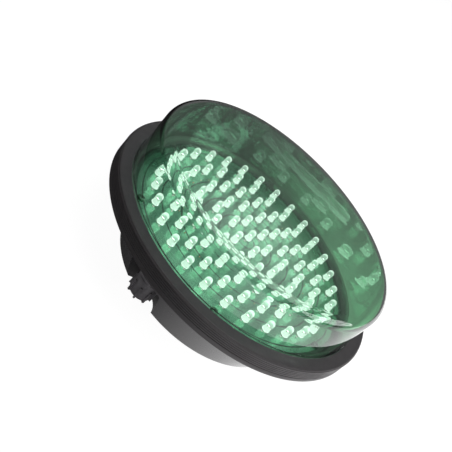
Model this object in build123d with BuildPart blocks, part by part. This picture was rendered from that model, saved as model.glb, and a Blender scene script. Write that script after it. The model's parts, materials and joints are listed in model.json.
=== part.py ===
from build123d import *
import os
from math import cos, radians, sin

# A 200 mm LED traffic-signal module, standing on its flat back with the lens up.
# Frame: origin at the centre of the flat back, +Z along the optical axis and out of the lens,
# the cable gland in its pocket on -Y. All sizes are in millimetres.

os.makedirs("parts", exist_ok=True)

BOTTOM = (Align.CENTER, Align.CENTER, Align.MIN)
TOP = (Align.CENTER, Align.CENTER, Align.MAX)

# ---- Driving dimensions ----

# lens
lens_r = 100.0            # outer radius of the clear barrel, for the 200 mm signal opening
lens_wall = 2.4           # thickness of the clear moulding
shoulder_r = 8.0          # outer radius of the rounded shoulder
shoulder_z = 85.0         # height where the straight barrel ends
dome_edge_angle = 8.0     # slope of the front dome at its edge, degrees
foot_r = 100.6            # land at the foot of the barrel, where the gasket's lip sits
foot_top_z = 56.4

# flange joint
flange_r = 107.2          # outer radius of the lens flange and of the housing flange
flange_t = 4.0            # thickness of each flange
joint_z = 49.4            # parting plane between the two flanges
flange_screw_r = 103.8    # radius of the circle of flange screws
flange_screw_count = 8
seal_r = 98.9             # radius of the O-ring's centre line
seal_section_r = 0.8
seal_groove_r = 1.1       # half width of its groove

# rim gasket
gasket_back_z = 43.2
gasket_front_z = 55.4     # flat front face
gasket_r = 110.3          # outer wall, between the ribs
gasket_band_r = 111.0     # plain rear band
gasket_gap = 0.2          # radial gap between the gasket and the hard parts inside it
edge_bevel = 0.5          # bevel of the gasket's free edges
rib_height = 0.6
rib_pitch = 1.5
rib_count = 5
front_chamfer_r = 0.7     # chamfer of the front edge, across and along the axis
front_chamfer_z = 0.8
band_step = 0.4           # slope between the ribs and the rear band

# rear housing
back_r = 76.7             # outer radius of the flat back
back_bevel = 1.4          # bevel round the edge of the flat back
wall_top_r = 98.0         # outer radius of the conical wall behind the flange
housing_t = 2.8           # thickness of walls and back
spigot_r = 97.3           # rim that stands up inside the lens barrel
spigot_t = 2.6
spigot_top_z = 51.4
back_panel_r = 58.0       # shallow recessed panel in the back
back_panel_depth = 0.8

# cable gland and its pocket
gland_y = -76.5           # the gland's axis is parallel to Z at x = 0
pocket_y = -81.5          # centre of the pocket's round end
pocket_r = 17.0
pocket_floor_z = 24.0
gland_thread_r = 7.0
gland_bore_r = 4.4
cable_bore_r = 3.3        # hole in the rubber bush, for a cord of 6 to 7 mm
cap_r = 8.8
cap_rib_r = 9.6
cap_rib_count = 8
cap_top_z = 19.4
cap_end_z = 3.7
thread_gap = 0.08         # radial running gap in the threads

# LED board
board_r = 93.4
board_t = 1.6
board_z = 45.2            # underside of the board
board_screw_r = 88.0      # radius of the circle of board screws
board_screw_count = 6
boss_r = 3.8
driver_post_r = 3.6       # posts under the driver board

# LEDs: rings of clear 5 mm LEDs round one in the centre
ring_pitch = 15.68        # radial distance from one ring to the next
ring_counts = [6, 12, 18, 24, 29]
ring_phases = [-3.0, -3.0, -3.0, -3.0, -4.8]   # turn of each ring from -Y, degrees
led_r = 2.5
led_flange_r = 2.9
led_flange_h = 1.0
led_length = 8.7          # from the flange to the tip
led_standoff = 2.0        # gap between the board and the flange
lead_size = 0.5
lead_pitch = 2.54
lead_tail = 1.8           # length of lead below the board
lead_hole_r = 0.45

# string resistors, under the LED board
resistor_count = 18
resistor_ring_r = 56.5
resistor_r = 1.25
resistor_length = 6.4
resistor_pitch = 10.2
resistor_lead_r = 0.3
resistor_first_angle = 10.0

# driver board
driver_x = 100.0
driver_y = 70.0
driver_t = 1.6
driver_z = 11.0           # underside of the board
driver_screw_x = 90.0     # spacing of the screws
driver_screw_y = 60.0
driver_top_z = driver_z + driver_t

# M3 screws
screw_r = 1.45
screw_head_r = 2.8
screw_head_h = 1.9
screw_clear_r = 1.7
pilot_r = 1.5
recess_long = 3.0         # arms of the cross recess
recess_wide = 0.7
recess_deep = 1.0
sink_depth = 1.4          # countersinks in the housing flange
flange_screw_bite = 3.0   # length of the flange screws in the lens
board_screw_length = 8.0
driver_screw_length = 6.0

# components on the driver board, each with its place (X, Y)
terminal_place = (-14.0, -27.5)
terminal_pitch = 7.5
terminal_depth = 11.0
terminal_height = 12.0
terminal_mouth = 4.4      # side of the square wire holes
terminal_screw_r = 2.0
terminal_screw_h = 4.5
terminal_well = 6.0       # depth of the screw wells

fuse_place = (16.0, -28.0)
fuse_lift = 4.2           # height of its axis above the board
fuse_r = 2.6
fuse_length = 20.0
fuse_cap_length = 5.0
clip_width = 6.4
clip_length = 3.0

varistor_place = (34.0, -26.0)
varistor_r = 6.0
varistor_t = 4.0
varistor_lead_r = 0.35

noise_filter_place = (-38.0, -12.0)
noise_filter_size = (8.0, 18.0, 14.0)

choke_place = (-18.0, -8.0)
choke_r = 6.2             # mean radius of the toroid
choke_section = 3.4
choke_lift = 1.2
choke_gap = 0.1
choke_turns = 5           # turns in each of the two windings
choke_turn_angle = 24.0
wire_r = 0.45

rectifier_place = (-2.0, -14.0)
rectifier_size = (14.0, 3.6, 10.0)
rectifier_lift = 2.5
rectifier_notch = 2.4
rectifier_lead_pitch = 3.6

smoothing_place = (-34.0, 14.0)
smoothing_r = 7.5
smoothing_h = 19.0
output_place = (36.0, 14.0)
output_r = 5.0
output_h = 14.0
crimp_r = 0.8             # section of the crimp groove round a can
crimp_depth = 0.5
crimp_z = 2.6
can_edge_r = 0.6
vent_width = 0.5          # cross score on the top of a can

transformer_place = (14.0, 4.0)
core_x = 22.0
core_y = 20.0
core_z = 12.0
core_leg = 5.0            # side of the centre leg
core_limb = 3.2           # thickness of the outer limbs
core_lift = 3.0
bobbin_t = 0.8
bobbin_flange = 12.4
part_gap = 0.1

chip_place = (-8.0, 7.0)
chip_size = (9.4, 6.4, 3.3)
chip_lift = 0.8
chip_row_pitch = 7.8
pin_pitch = 2.54
pin_shoulder_z = 2.1
pin_shoulder_t = 0.4

sink_place = (-18.0, 25.0)
sink_width = 22.0
sink_height = 20.0
sink_t = 2.0
fin_count = 6
fin_t = 1.2
fin_depth = 6.0

transistor_width = 10.0
transistor_t = 4.5
transistor_h = 9.0
transistor_lift = 4.0
tab_t = 1.3
tab_h = 6.0

# link between the boards
link_x = 0.0
link_y = 24.0
link_pin_pitch = 2.54
shell_x = 7.6
shell_y = 5.8
shell_z = 7.0
shell_t = 0.8
shell_floor = 1.2
link_pin = 0.5            # side of the square pins
plug_lift = 1.6           # depth of the shell below the plug, where the pins start
plug_z = 6.6
pin_length = 4.4
link_wire_r = 0.6
wire_straight = 5.0       # straight stretch of wire at each plug
wire_bow = 5.0            # how far the wires bow sideways between the plugs

# cable gland pieces
gland_flange_t = 3.0      # hexagonal flange of the body, outside the wall
washer_r = 9.6
washer_t = 1.0
hex_across_flats = 18.0
lock_nut_t = 4.0
body_end_z = 11.0
bush_r = 5.4
bush_length = 8.0
bush_proud = 0.6          # how far the bush stands out of the body
ring_t = 1.6
ring_r = 6.6
ring_hole_r = 3.9
cap_mouth_r = 4.6
cap_taper = 0.6           # how much narrower the cap is at its end
cap_rib_length = 9.0
cap_rib_width = 1.5

# ---- Values that follow from them ----

board_top_z = board_z + board_t
led_base_z = board_top_z + led_standoff
flange_top_z = joint_z + flange_t
flange_under_z = joint_z - flange_t
lens_inner_r = lens_r - lens_wall
cavity_r = spigot_r - spigot_t
gland_axis = Axis((0, gland_y, 0), (0, 0, 1))
gland_plane = Plane.XZ.offset(-gland_y)


def pan_screw(length):
    """An M3 pan-head screw with a cross recess, its head resting on z = 0 and its shank below."""
    with BuildPart() as screw:
        Cylinder(screw_r, length, align=TOP)
        Cylinder(screw_head_r, screw_head_h, align=BOTTOM)
        fillet(screw.faces().sort_by(Axis.Z)[-1].edges(), screw_head_h / 2)
        with Locations((0, 0, screw_head_h)):
            Box(recess_long, recess_wide, 2 * recess_deep, mode=Mode.SUBTRACT)
            Box(recess_wide, recess_long, 2 * recess_deep, mode=Mode.SUBTRACT)
    return screw.part


def electrolytic_can(radius, height):
    """An upright electrolytic capacitor with a crimp groove and rounded edges, standing on z = 0."""
    with BuildPart() as can:
        Cylinder(radius, height, align=BOTTOM)
        fillet(can.edges().filter_by(GeomType.CIRCLE), can_edge_r)
        with BuildSketch(Plane.XZ):
            with Locations((radius + crimp_r - crimp_depth, crimp_z)):
                Circle(crimp_r)
        revolve(axis=Axis.Z, mode=Mode.SUBTRACT)
        with Locations((0, 0, height)):
            Box(1.4 * radius, vent_width, vent_width, mode=Mode.SUBTRACT)
            Box(vent_width, 1.4 * radius, vent_width, mode=Mode.SUBTRACT)
    return can.part


def led_body():
    """One clear 5 mm LED: flange with a flat, barrel and hemispherical tip, its flange on z = 0."""
    barrel_top = led_length - led_r
    with BuildPart() as led:
        with BuildSketch(Plane.XZ):
            with BuildLine():
                Polyline((0, barrel_top + led_r), (0, 0), (led_flange_r, 0),
                         (led_flange_r, led_flange_h), (led_r, led_flange_h), (led_r, barrel_top))
                CenterArc((0, barrel_top), led_r, 0, 90)
            make_face()
        revolve(axis=Axis.Z)
        with Locations((led_flange_r, 0, 0)):
            Box(2 * (led_flange_r - led_r - 0.05), 6, 2 * led_flange_h, mode=Mode.SUBTRACT)
    return led.part


def ring_places(index):
    """Locations of the LEDs of one ring, each with its local X pointing outward."""
    return PolarLocations(ring_pitch * (index + 1), ring_counts[index], -90 + ring_phases[index])


# ---- Front lens: a clear cup with a flange ----

edge_angle = radians(dome_edge_angle)
shoulder_x = lens_r - shoulder_r
dome_edge_x = shoulder_x + shoulder_r * sin(edge_angle)
dome_r = dome_edge_x / sin(edge_angle)
dome_center_z = shoulder_z + shoulder_r * cos(edge_angle) - dome_r * cos(edge_angle)
inner_shoulder_r = shoulder_r - lens_wall
turn = 90 - dome_edge_angle

with BuildPart() as front_lens:
    with BuildSketch(Plane.XZ):
        with BuildLine():
            outer_shoulder = CenterArc((shoulder_x, shoulder_z), shoulder_r, 0, turn)
            outer_dome = CenterArc((0, dome_center_z), dome_r, turn, dome_edge_angle)
            inner_shoulder = CenterArc((shoulder_x, shoulder_z), inner_shoulder_r, 0, turn)
            inner_dome = CenterArc((0, dome_center_z), dome_r - lens_wall, turn, dome_edge_angle)
            Line(outer_dome @ 1, inner_dome @ 1)
            Polyline(outer_shoulder @ 0, (lens_r, foot_top_z), (foot_r, foot_top_z),
                     (foot_r, flange_top_z), (flange_r, flange_top_z), (flange_r, joint_z),
                     (lens_inner_r, joint_z), inner_shoulder @ 0)
        make_face()
    revolve(axis=Axis.Z)
    with PolarLocations(flange_screw_r, flange_screw_count, 22.5):
        with Locations((0, 0, joint_z)):
            Cylinder(pilot_r, flange_screw_bite + 0.2, align=BOTTOM, mode=Mode.SUBTRACT)
front_lens.part.label = "front_lens"
export_step(front_lens.part, "parts/front_lens.step")

# ---- Rim gasket: rubber ring of U section that wraps both flanges ----

rib_top_z = gasket_front_z - front_chamfer_z
rib_end_z = rib_top_z - rib_count * rib_pitch
lip_r = foot_r + gasket_gap
back_lip_r = wall_top_r + gasket_gap
groove_r = flange_r + gasket_gap

with BuildPart() as rim_gasket:
    with BuildSketch(Plane.XZ):
        with BuildLine():
            Polyline((gasket_r, rib_top_z), (gasket_r - front_chamfer_r, gasket_front_z),
                     (lip_r + edge_bevel, gasket_front_z), (lip_r, gasket_front_z - edge_bevel),
                     (lip_r, flange_top_z), (groove_r, flange_top_z), (groove_r, flange_under_z),
                     (back_lip_r, flange_under_z), (back_lip_r, gasket_back_z + edge_bevel),
                     (back_lip_r + edge_bevel, gasket_back_z),
                     (gasket_band_r - edge_bevel, gasket_back_z),
                     (gasket_band_r, gasket_back_z + edge_bevel),
                     (gasket_band_r, rib_end_z - band_step), (gasket_r, rib_end_z))
            for rib in range(rib_count):
                top = rib_top_z - rib * rib_pitch
                ThreePointArc((gasket_r, top), (gasket_r + rib_height, top - rib_pitch / 2),
                              (gasket_r, top - rib_pitch))
        make_face()
    revolve(axis=Axis.Z)
rim_gasket.part.label = "rim_gasket"
export_step(rim_gasket.part, "parts/rim_gasket.step")

# ---- Lens seal: an O-ring in a groove of the housing flange ----

with BuildPart() as lens_seal:
    with BuildSketch(Plane.XZ):
        with Locations((seal_r, joint_z - seal_section_r)):
            Circle(seal_section_r)
    revolve(axis=Axis.Z)
lens_seal.part.label = "lens_seal"
export_step(lens_seal.part, "parts/lens_seal.step")

# ---- Rear housing: conical bucket with bosses inside and the gland pocket in its wall ----

cavity_floor_r = back_r - housing_t
pocket_wall_r = pocket_r + housing_t

with BuildPart() as cavity:
    with BuildSketch(Plane.XZ):
        with BuildLine():
            Polyline((0, housing_t), (cavity_floor_r, housing_t), (cavity_r, gasket_back_z),
                     (cavity_r, spigot_top_z + 1), (0, spigot_top_z + 1), (0, housing_t))
        make_face()
    revolve(axis=Axis.Z)
    with Locations((0, pocket_y, 0)):
        Cylinder(pocket_wall_r, pocket_floor_z + housing_t, align=BOTTOM, mode=Mode.SUBTRACT)
    with Locations((0, pocket_y - pocket_wall_r, 0)):
        Box(2 * pocket_wall_r, 2 * pocket_wall_r, pocket_floor_z + housing_t, align=BOTTOM,
            mode=Mode.SUBTRACT)
    with PolarLocations(board_screw_r, board_screw_count):
        Cylinder(boss_r, board_z, align=BOTTOM, mode=Mode.SUBTRACT)
    with GridLocations(driver_screw_x, driver_screw_y, 2, 2):
        Cylinder(driver_post_r, driver_z, align=BOTTOM, mode=Mode.SUBTRACT)

with BuildPart() as rear_housing:
    with BuildSketch(Plane.XZ):
        with BuildLine():
            Polyline((0, 0), (back_r - back_bevel, 0), (back_r, back_bevel),
                     (wall_top_r, gasket_back_z), (wall_top_r, flange_under_z),
                     (flange_r, flange_under_z), (flange_r, joint_z), (spigot_r, joint_z),
                     (spigot_r, spigot_top_z), (0, spigot_top_z), (0, 0))
        make_face()
    revolve(axis=Axis.Z)
    add(cavity.part, mode=Mode.SUBTRACT)
    Cylinder(back_panel_r, back_panel_depth, align=BOTTOM, mode=Mode.SUBTRACT)
    with Locations((0, gland_y, 0)):
        Cylinder(gland_thread_r + 0.1, joint_z, align=BOTTOM, mode=Mode.SUBTRACT)
    with Locations((0, pocket_y, 0)):
        Cylinder(pocket_r, pocket_floor_z, align=BOTTOM, mode=Mode.SUBTRACT)
    with Locations((0, pocket_y - pocket_r, 0)):
        Box(2 * pocket_r, 2 * pocket_r, pocket_floor_z, align=BOTTOM, mode=Mode.SUBTRACT)
    with BuildSketch(Plane.XY.offset(joint_z)):
        Circle(seal_r + seal_groove_r)
        Circle(seal_r - seal_groove_r, mode=Mode.SUBTRACT)
    extrude(amount=-2 * seal_section_r, mode=Mode.SUBTRACT)
    with PolarLocations(flange_screw_r, flange_screw_count, 22.5):
        with Locations((0, 0, flange_under_z)):
            Cylinder(screw_clear_r, flange_t, align=BOTTOM, mode=Mode.SUBTRACT)
            Cone(screw_head_r + 0.1, screw_clear_r, sink_depth, align=BOTTOM, mode=Mode.SUBTRACT)
    with PolarLocations(board_screw_r, board_screw_count):
        with Locations((0, 0, board_z)):
            Cylinder(pilot_r, board_screw_length + 2, align=TOP, mode=Mode.SUBTRACT)
    with GridLocations(driver_screw_x, driver_screw_y, 2, 2):
        with Locations((0, 0, driver_z)):
            Cylinder(pilot_r, driver_screw_length + 1, align=TOP, mode=Mode.SUBTRACT)
rear_housing.part.label = "rear_housing"
export_step(rear_housing.part, "parts/rear_housing.step")

# ---- Flange screws: countersunk from behind, under the gasket ----

with BuildPart() as flange_screws:
    with PolarLocations(flange_screw_r, flange_screw_count, 22.5):
        with Locations((0, 0, flange_under_z)):
            Cylinder(screw_r, flange_t + flange_screw_bite, align=BOTTOM)
            Cone(screw_head_r, screw_r, sink_depth - 0.05, align=BOTTOM)
            Box(recess_long, recess_wide, sink_depth, mode=Mode.SUBTRACT)
            Box(recess_wide, recess_long, sink_depth, mode=Mode.SUBTRACT)
flange_screws.part.label = "flange_screws"
export_step(flange_screws.part, "parts/flange_screws.step")

# ---- LED board ----

with BuildPart() as led_board:
    with BuildSketch(Plane.XY.offset(board_z)):
        Circle(board_r)
        with PolarLocations(board_screw_r, board_screw_count):
            Circle(screw_clear_r, mode=Mode.SUBTRACT)
        with Locations((0, lead_pitch / 2), (0, -lead_pitch / 2)):
            Circle(lead_hole_r, mode=Mode.SUBTRACT)
        for ring in range(len(ring_counts)):
            with ring_places(ring):
                with Locations((0, lead_pitch / 2), (0, -lead_pitch / 2)):
                    Circle(lead_hole_r, mode=Mode.SUBTRACT)
        with PolarLocations(resistor_ring_r, resistor_count, resistor_first_angle):
            with Locations((0, resistor_pitch / 2), (0, -resistor_pitch / 2)):
                Circle(lead_hole_r, mode=Mode.SUBTRACT)
        with Locations((link_x - link_pin_pitch / 2, link_y), (link_x + link_pin_pitch / 2, link_y)):
            Circle(lead_hole_r, mode=Mode.SUBTRACT)
    extrude(amount=board_t)
led_board.part.label = "led_board"
export_step(led_board.part, "parts/led_board.step")

board_screw = pan_screw(board_screw_length)

with BuildPart() as led_board_screws:
    with PolarLocations(board_screw_r, board_screw_count):
        with Locations((0, 0, board_top_z)):
            add(board_screw)
led_board_screws.part.label = "led_board_screws"
export_step(led_board_screws.part, "parts/led_board_screws.step")

# ---- LEDs: one in the centre and five rings, each ring a node of separate solids ----

led = led_body()

with BuildPart() as led_center:
    with Locations((0, 0, led_base_z)):
        add(led)
led_center.part.label = "led_center"
export_step(led_center.part, "parts/led_center.step")

for ring in range(len(ring_counts)):
    with BuildPart() as led_ring:
        with ring_places(ring):
            with Locations((0, 0, led_base_z)):
                add(led)
    led_ring.part.label = f"led_ring_{ring + 1}"
    export_step(led_ring.part, f"parts/led_ring_{ring + 1}.step")

with BuildPart() as led_leads:
    with BuildSketch(Plane.XY.offset(board_z - lead_tail)):
        with Locations((0, lead_pitch / 2), (0, -lead_pitch / 2)):
            Rectangle(lead_size, lead_size)
        for ring in range(len(ring_counts)):
            with ring_places(ring):
                with Locations((0, lead_pitch / 2), (0, -lead_pitch / 2)):
                    Rectangle(lead_size, lead_size)
    extrude(amount=lead_tail + board_t + led_standoff)
led_leads.part.label = "led_leads"
export_step(led_leads.part, "parts/led_leads.step")

# ---- String resistors, hanging under the LED board with their leads through it ----

resistor_z = board_z - resistor_r - resistor_lead_r
resistor_lead_length = board_top_z + 0.5 - resistor_z + resistor_lead_r

with BuildPart() as resistor:
    with BuildSketch(Plane.XZ):
        Circle(resistor_r)
    extrude(amount=resistor_length / 2, both=True)
    fillet(resistor.edges().filter_by(GeomType.CIRCLE), 0.4 * resistor_r)
    with BuildSketch(Plane.XZ):
        Circle(resistor_lead_r)
    extrude(amount=resistor_pitch / 2, both=True)
    with GridLocations(1, resistor_pitch, 1, 2):
        with Locations((0, 0, -resistor_lead_r)):
            Cylinder(resistor_lead_r, resistor_lead_length, align=BOTTOM)

with BuildPart() as string_resistors:
    with PolarLocations(resistor_ring_r, resistor_count, resistor_first_angle):
        with Locations((0, 0, resistor_z)):
            add(resistor.part)
string_resistors.part.label = "string_resistors"
export_step(string_resistors.part, "parts/string_resistors.step")

# ---- Driver board: the mains power supply behind the LED board ----

with BuildPart() as driver_board:
    with BuildSketch(Plane.XY.offset(driver_z)):
        RectangleRounded(driver_x, driver_y, 3)
        with GridLocations(driver_screw_x, driver_screw_y, 2, 2):
            Circle(screw_clear_r, mode=Mode.SUBTRACT)
    extrude(amount=driver_t)
driver_board.part.label = "driver_board"
export_step(driver_board.part, "parts/driver_board.step")

driver_screw = pan_screw(driver_screw_length)

with BuildPart() as driver_screws:
    with GridLocations(driver_screw_x, driver_screw_y, 2, 2):
        with Locations((0, 0, driver_top_z)):
            add(driver_screw)
driver_screws.part.label = "driver_screws"
export_step(driver_screws.part, "parts/driver_screws.step")

# Terminal block, two poles, its wire holes facing the gland on -Y
terminal_width = 2 * terminal_pitch + 2

with BuildPart() as terminal_block:
    with Locations((*terminal_place, driver_top_z)):
        Box(terminal_width, terminal_depth, terminal_height, align=BOTTOM)
    chamfer(terminal_block.faces().sort_by(Axis.Z)[-1].edges().filter_by(Axis.X), 1.5)
    with Locations((*terminal_place, driver_top_z)):
        with GridLocations(terminal_pitch, 1, 2, 1):
            with Locations((0, 0, terminal_height)):
                Cylinder(terminal_screw_r + 0.3, terminal_well, align=TOP, mode=Mode.SUBTRACT)
            with Locations((0, -terminal_depth / 2, terminal_mouth)):
                Box(terminal_mouth, 2 * terminal_mouth, terminal_mouth, mode=Mode.SUBTRACT)
terminal_block.part.label = "terminal_block"
export_step(terminal_block.part, "parts/terminal_block.step")

with BuildPart() as terminal_screws:
    with Locations((*terminal_place, driver_top_z + terminal_height - terminal_well)):
        with GridLocations(terminal_pitch, 1, 2, 1):
            Cylinder(terminal_screw_r, terminal_screw_h, align=BOTTOM)
            with Locations((0, 0, terminal_screw_h)):
                Box(1.8 * terminal_screw_r, 0.8, 1.6, mode=Mode.SUBTRACT)
terminal_screws.part.label = "terminal_screws"
export_step(terminal_screws.part, "parts/terminal_screws.step")

# Fuse, a 5 by 20 mm tube lying along X in two clips
fuse_plane = Plane((*fuse_place, driver_top_z + fuse_lift), x_dir=(0, 1, 0), z_dir=(1, 0, 0))
fuse_end = fuse_length / 2
clip_start = fuse_end - 1 - clip_length

with BuildPart() as fuse:
    with BuildSketch(fuse_plane):
        Circle(fuse_r - 0.15)
    extrude(amount=fuse_end, both=True)
    with BuildSketch(fuse_plane.offset(-fuse_end), fuse_plane.offset(fuse_end - fuse_cap_length)):
        Circle(fuse_r)
    extrude(amount=fuse_cap_length)
fuse.part.label = "fuse"
export_step(fuse.part, "parts/fuse.step")

with BuildPart() as fuse_clips:
    with BuildSketch(fuse_plane.offset(-clip_start - clip_length), fuse_plane.offset(clip_start)):
        Rectangle(clip_width, 2 * fuse_lift)
        Circle(fuse_r + 0.05, mode=Mode.SUBTRACT)
        with Locations((0, fuse_r + 1.1)):
            Rectangle(clip_width, 2 * fuse_r, mode=Mode.SUBTRACT)
    extrude(amount=clip_length)
fuse_clips.part.label = "fuse_clips"
export_step(fuse_clips.part, "parts/fuse_clips.step")

# Varistor, a disc that stands on its edge
varistor_mid_z = driver_top_z + varistor_r + 1.2
varistor_plane = Plane((*varistor_place, varistor_mid_z), x_dir=(0, 1, 0), z_dir=(1, 0, 0))

with BuildPart() as varistor:
    with BuildSketch(varistor_plane):
        Circle(varistor_r)
    extrude(amount=varistor_t / 2, both=True)
    fillet(varistor.edges().filter_by(GeomType.CIRCLE), 0.3 * varistor_t)
    with Locations((*varistor_place, driver_top_z)):
        with Locations((-0.8, -2.5), (0.8, 2.5)):
            Cylinder(varistor_lead_r, varistor_r / 2 + 1, align=BOTTOM)
varistor.part.label = "varistor"
export_step(varistor.part, "parts/varistor.step")

# Noise filter capacitor, a potted box
with BuildPart() as noise_filter_capacitor:
    with Locations((*noise_filter_place, driver_top_z)):
        Box(*noise_filter_size, align=BOTTOM)
    fillet(noise_filter_capacitor.edges().filter_by(Axis.Z), 0.8)
    chamfer(noise_filter_capacitor.faces().sort_by(Axis.Z)[-1].edges(), 0.5)
noise_filter_capacitor.part.label = "noise_filter_capacitor"
export_step(noise_filter_capacitor.part, "parts/noise_filter_capacitor.step")

# Filter choke, a toroid lying flat with two separate windings of single turns
choke_z = driver_top_z + choke_lift

with BuildPart() as filter_choke_core:
    with BuildSketch(Plane.XY.offset(choke_z)):
        with Locations(choke_place):
            Circle(choke_r + choke_section / 2)
            Circle(choke_r - choke_section / 2, mode=Mode.SUBTRACT)
    extrude(amount=choke_section)
filter_choke_core.part.label = "filter_choke_core"
export_step(filter_choke_core.part, "parts/filter_choke_core.step")

turn_inner = choke_section + 2 * choke_gap
turn_outer = turn_inner + 4 * wire_r
winding_angle = choke_turn_angle * choke_turns

with BuildPart() as choke_turn:
    with BuildSketch(Plane.XZ):
        Rectangle(turn_outer, turn_outer)
        Rectangle(turn_inner, turn_inner, mode=Mode.SUBTRACT)
    extrude(amount=wire_r, both=True)

with BuildPart() as filter_choke_winding:
    for start_angle in (-winding_angle / 2, 180 - winding_angle / 2):
        with Locations((*choke_place, choke_z + choke_section / 2)):
            with PolarLocations(choke_r, choke_turns, start_angle, winding_angle, rotate=True):
                add(choke_turn.part)
filter_choke_winding.part.label = "filter_choke_winding"
export_step(filter_choke_winding.part, "parts/filter_choke_winding.step")

# Bridge rectifier, a flat four-legged body standing up, one top corner cut off
with BuildPart() as bridge_rectifier:
    with Locations((*rectifier_place, driver_top_z + rectifier_lift)):
        Box(*rectifier_size, align=BOTTOM)
    top_edges = bridge_rectifier.edges().filter_by(Axis.Y).group_by(Axis.Z)[-1]
    chamfer(top_edges.sort_by(Axis.X)[-1], rectifier_notch)
    with Locations((*rectifier_place, driver_top_z)):
        with GridLocations(rectifier_lead_pitch, 1, 4, 1):
            Box(0.8, 0.6, rectifier_lift + 0.5, align=BOTTOM)
bridge_rectifier.part.label = "bridge_rectifier"
export_step(bridge_rectifier.part, "parts/bridge_rectifier.step")

# Electrolytic capacitors
mains_can = electrolytic_can(smoothing_r, smoothing_h)
output_can = electrolytic_can(output_r, output_h)

with BuildPart() as smoothing_capacitor:
    with Locations((*smoothing_place, driver_top_z)):
        add(mains_can)
smoothing_capacitor.part.label = "smoothing_capacitor"
export_step(smoothing_capacitor.part, "parts/smoothing_capacitor.step")

with BuildPart() as output_capacitor:
    with Locations((*output_place, driver_top_z)):
        add(output_can)
output_capacitor.part.label = "output_capacitor"
export_step(output_capacitor.part, "parts/output_capacitor.step")

# Transformer: ferrite core round a bobbin that carries the winding, its centre leg along X
core_base_z = driver_top_z + core_lift
core_mid_z = core_base_z + core_z / 2
core_plane = Plane((*transformer_place, core_mid_z), x_dir=(0, 1, 0), z_dir=(1, 0, 0))
window_x = core_x - 2 * core_limb
window_y = core_y - 2 * core_limb

with BuildPart() as transformer_core:
    with Locations((*transformer_place, core_base_z)):
        Box(core_x, core_y, core_z, align=BOTTOM)
        Box(window_x, window_y, core_z, align=BOTTOM, mode=Mode.SUBTRACT)
    with Locations((*transformer_place, core_mid_z)):
        Box(core_x, core_leg, core_leg)
transformer_core.part.label = "transformer_core"
export_step(transformer_core.part, "parts/transformer_core.step")

bobbin_length = window_x - 2 * part_gap
bobbin_hole = core_leg + 2 * part_gap
bobbin_tube = bobbin_hole + 2 * bobbin_t
flange_starts = [core_plane.offset(-bobbin_length / 2), core_plane.offset(bobbin_length / 2 - bobbin_t)]

with BuildPart() as transformer_bobbin:
    with BuildSketch(core_plane):
        Rectangle(bobbin_tube, bobbin_tube)
    extrude(amount=bobbin_length / 2, both=True)
    with BuildSketch(*flange_starts):
        Rectangle(bobbin_flange, 2 * (core_mid_z - driver_top_z))
    extrude(amount=bobbin_t)
    with BuildSketch(core_plane):
        Rectangle(bobbin_hole, bobbin_hole)
    extrude(amount=core_x, both=True, mode=Mode.SUBTRACT)
transformer_bobbin.part.label = "transformer_bobbin"
export_step(transformer_bobbin.part, "parts/transformer_bobbin.step")

winding_side = bobbin_flange - 2 * bobbin_t
winding_length = bobbin_length - 2 * bobbin_t - 2 * part_gap

with BuildPart() as transformer_winding:
    with BuildSketch(core_plane):
        RectangleRounded(winding_side, winding_side, 1.8)
        Rectangle(bobbin_tube + 2 * part_gap, bobbin_tube + 2 * part_gap, mode=Mode.SUBTRACT)
    extrude(amount=winding_length / 2, both=True)
transformer_winding.part.label = "transformer_winding"
export_step(transformer_winding.part, "parts/transformer_winding.step")

# Driver chip, an eight-pin package with bent pins
with BuildPart() as driver_chip:
    with Locations((*chip_place, driver_top_z + chip_lift)):
        Box(*chip_size, align=BOTTOM)
    chamfer(driver_chip.faces().sort_by(Axis.Z)[-1].edges(), 0.4)
    with Locations((*chip_place, driver_top_z)):
        with GridLocations(pin_pitch, chip_row_pitch, 4, 2):
            Box(0.6, 0.5, pin_shoulder_z + pin_shoulder_t, align=BOTTOM)
        with Locations((0, 0, pin_shoulder_z)):
            with GridLocations(pin_pitch, chip_row_pitch - 0.8, 4, 2):
                Box(1.2, 2.0, pin_shoulder_t, align=BOTTOM)
driver_chip.part.label = "driver_chip"
export_step(driver_chip.part, "parts/driver_chip.step")

# Power transistor against a finned heat sink
with BuildPart() as heat_sink:
    with BuildSketch(Plane.XY.offset(driver_top_z)):
        with Locations(sink_place):
            Rectangle(sink_width, sink_t, align=(Align.CENTER, Align.MIN))
            with Locations((0, sink_t)):
                with GridLocations((sink_width - fin_t) / (fin_count - 1), 1, fin_count, 1):
                    Rectangle(fin_t, fin_depth, align=(Align.CENTER, Align.MIN))
    extrude(amount=sink_height)
heat_sink.part.label = "heat_sink"
export_step(heat_sink.part, "parts/heat_sink.step")

AGAINST_SINK = (Align.CENTER, Align.MAX, Align.MIN)

with BuildPart() as power_transistor:
    with Locations((*sink_place, driver_top_z + transistor_lift)):
        Box(transistor_width, transistor_t, transistor_h, align=AGAINST_SINK)
    with Locations((*sink_place, driver_top_z + transistor_lift + transistor_h)):
        Box(transistor_width, tab_t, tab_h, align=AGAINST_SINK)
        with Locations((0, -tab_t / 2, tab_h / 2)):
            Cylinder(screw_clear_r, 2 * tab_t, rotation=(90, 0, 0), mode=Mode.SUBTRACT)
    with Locations((*sink_place, driver_top_z)):
        with Locations((0, -transistor_t / 2, 0)):
            with GridLocations(pin_pitch, 1, 3, 1):
                Box(0.8, 0.5, transistor_lift, align=BOTTOM)
power_transistor.part.label = "power_transistor"
export_step(power_transistor.part, "parts/power_transistor.step")

# ---- Link between the boards: header and plug at each end of a pair of wires ----

shell_hole_x = shell_x - 2 * shell_t
shell_hole_y = shell_y - 2 * shell_t
plug_x = shell_hole_x - 0.2
plug_y = shell_hole_y - 0.2
wire_hole_depth = 1.5


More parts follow.
